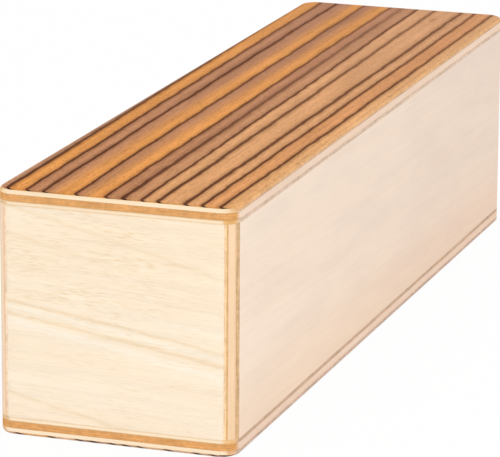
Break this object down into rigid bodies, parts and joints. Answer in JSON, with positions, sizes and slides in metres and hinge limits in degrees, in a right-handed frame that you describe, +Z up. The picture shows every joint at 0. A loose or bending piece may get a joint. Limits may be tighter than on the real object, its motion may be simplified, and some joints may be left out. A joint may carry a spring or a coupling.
{
  "type": "wooden shaker",
  "caption": "Square wooden box shaker: plywood panels with striped veneer above and below, rounded corners, inset ends, and loose beads sealed inside that rattle when it is shaken.",
  "frame": {"origin": "middle of the bottom face", "axes": "+Z up, +Y along the box towards the rear end, +X to the right seen from the front end"},
  "size_m": [0.064, 0.25, 0.064],
  "materials": {
    "striped_veneer": "satin oiled veneer, dark lines along the length",
    "long_grain_ply": "sanded pale ply",
    "end_grain_ply": "sanded ply, brown end grain",
    "side_face": "sanded and clear sealed",
    "end_face": "sanded and clear sealed",
    "bead_steel": "plain bright steel"
  },
  "bodies": {
    "case": {"top_veneer": "striped_veneer", "top_outer_ply": "long_grain_ply", "top_core_ply": "end_grain_ply", "top_inner_ply": "long_grain_ply", "bottom_veneer": "striped_veneer", "bottom_outer_ply": "long_grain_ply", "bottom_core_ply": "end_grain_ply", "bottom_inner_ply": "long_grain_ply", "left_outer_ply": "side_face", "left_core_ply": "long_grain_ply", "left_inner_ply": "end_grain_ply", "right_outer_ply": "side_face", "right_core_ply": "long_grain_ply", "right_inner_ply": "end_grain_ply", "front_outer_ply": "end_face", "front_core_ply": "end_grain_ply", "front_inner_ply": "long_grain_ply", "rear_outer_ply": "end_face", "rear_core_ply": "end_grain_ply", "rear_inner_ply": "long_grain_ply"},
    "bead_01": {"bead_01": "bead_steel"},
    "bead_02": {"bead_02": "bead_steel"},
    "bead_03": {"bead_03": "bead_steel"},
    "bead_04": {"bead_04": "bead_steel"},
    "bead_05": {"bead_05": "bead_steel"},
    "bead_06": {"bead_06": "bead_steel"},
    "bead_07": {"bead_07": "bead_steel"},
    "bead_08": {"bead_08": "bead_steel"},
    "bead_09": {"bead_09": "bead_steel"},
    "bead_10": {"bead_10": "bead_steel"},
    "bead_11": {"bead_11": "bead_steel"},
    "bead_12": {"bead_12": "bead_steel"},
    "bead_13": {"bead_13": "bead_steel"},
    "bead_14": {"bead_14": "bead_steel"},
    "bead_15": {"bead_15": "bead_steel"},
    "bead_16": {"bead_16": "bead_steel"},
    "bead_17": {"bead_17": "bead_steel"},
    "bead_18": {"bead_18": "bead_steel"},
    "bead_19": {"bead_19": "bead_steel"},
    "bead_20": {"bead_20": "bead_steel"},
    "bead_21": {"bead_21": "bead_steel"},
    "bead_22": {"bead_22": "bead_steel"},
    "bead_23": {"bead_23": "bead_steel"},
    "bead_24": {"bead_24": "bead_steel"},
    "bead_25": {"bead_25": "bead_steel"},
    "bead_26": {"bead_26": "bead_steel"},
    "bead_27": {"bead_27": "bead_steel"},
    "bead_28": {"bead_28": "bead_steel"}
  },
  "joints": [
    {"name": "bead_01_throw", "type": "slide", "parent": "case", "child": "bead_01", "axis": [0, 0, 1], "range_m": [0, 0.05]},
    {"name": "bead_02_throw", "type": "slide", "parent": "case", "child": "bead_02", "axis": [0, 0, 1], "range_m": [0, 0.05]},
    {"name": "bead_03_throw", "type": "slide", "parent": "case", "child": "bead_03", "axis": [0, 0, 1], "range_m": [0, 0.05]},
    {"name": "bead_04_throw", "type": "slide", "parent": "case", "child": "bead_04", "axis": [0, 0, 1], "range_m": [0, 0.05]},
    {"name": "bead_05_throw", "type": "slide", "parent": "case", "child": "bead_05", "axis": [0, 0, 1], "range_m": [0, 0.05]},
    {"name": "bead_06_throw", "type": "slide", "parent": "case", "child": "bead_06", "axis": [0, 0, 1], "range_m": [0, 0.05]},
    {"name": "bead_07_throw", "type": "slide", "parent": "case", "child": "bead_07", "axis": [0, 0, 1], "range_m": [0, 0.05]},
    {"name": "bead_08_throw", "type": "slide", "parent": "case", "child": "bead_08", "axis": [0, 0, 1], "range_m": [0, 0.05]},
    {"name": "bead_09_throw", "type": "slide", "parent": "case", "child": "bead_09", "axis": [0, 0, 1], "range_m": [0, 0.05]},
    {"name": "bead_10_throw", "type": "slide", "parent": "case", "child": "bead_10", "axis": [0, 0, 1], "range_m": [0, 0.05]},
    {"name": "bead_11_throw", "type": "slide", "parent": "case", "child": "bead_11", "axis": [0, 0, 1], "range_m": [0, 0.05]},
    {"name": "bead_12_throw", "type": "slide", "parent": "case", "child": "bead_12", "axis": [0, 0, 1], "range_m": [0, 0.05]},
    {"name": "bead_13_throw", "type": "slide", "parent": "case", "child": "bead_13", "axis": [0, 0, 1], "range_m": [0, 0.05]},
    {"name": "bead_14_throw", "type": "slide", "parent": "case", "child": "bead_14", "axis": [0, 0, 1], "range_m": [0, 0.05]},
    {"name": "bead_15_throw", "type": "slide", "parent": "case", "child": "bead_15", "axis": [0, 0, 1], "range_m": [0, 0.05]},
    {"name": "bead_16_throw", "type": "slide", "parent": "case", "child": "bead_16", "axis": [0, 0, 1], "range_m": [0, 0.05]},
    {"name": "bead_17_throw", "type": "slide", "parent": "case", "child": "bead_17", "axis": [0, 0, 1], "range_m": [0, 0.05]},
    {"name": "bead_18_throw", "type": "slide", "parent": "case", "child": "bead_18", "axis": [0, 0, 1], "range_m": [0, 0.05]},
    {"name": "bead_19_throw", "type": "slide", "parent": "case", "child": "bead_19", "axis": [0, 0, 1], "range_m": [0, 0.05]},
    {"name": "bead_20_throw", "type": "slide", "parent": "case", "child": "bead_20", "axis": [0, 0, 1], "range_m": [0, 0.05]},
    {"name": "bead_21_throw", "type": "slide", "parent": "case", "child": "bead_21", "axis": [0, 0, 1], "range_m": [0, 0.05]},
    {"name": "bead_22_throw", "type": "slide", "parent": "case", "child": "bead_22", "axis": [0, 0, 1], "range_m": [0, 0.05]},
    {"name": "bead_23_throw", "type": "slide", "parent": "case", "child": "bead_23", "axis": [0, 0, 1], "range_m": [0, 0.05]},
    {"name": "bead_24_throw", "type": "slide", "parent": "case", "child": "bead_24", "axis": [0, 0, 1], "range_m": [0, 0.05]},
    {"name": "bead_25_throw", "type": "slide", "parent": "case", "child": "bead_25", "axis": [0, 0, 1], "range_m": [0, 0.05]},
    {"name": "bead_26_throw", "type": "slide", "parent": "case", "child": "bead_26", "axis": [0, 0, 1], "range_m": [0, 0.05]},
    {"name": "bead_27_throw", "type": "slide", "parent": "case", "child": "bead_27", "axis": [0, 0, 1], "range_m": [0, 0.05]},
    {"name": "bead_28_throw", "type": "slide", "parent": "case", "child": "bead_28", "axis": [0, 0, 1], "range_m": [0, 0.05]}
  ]
}
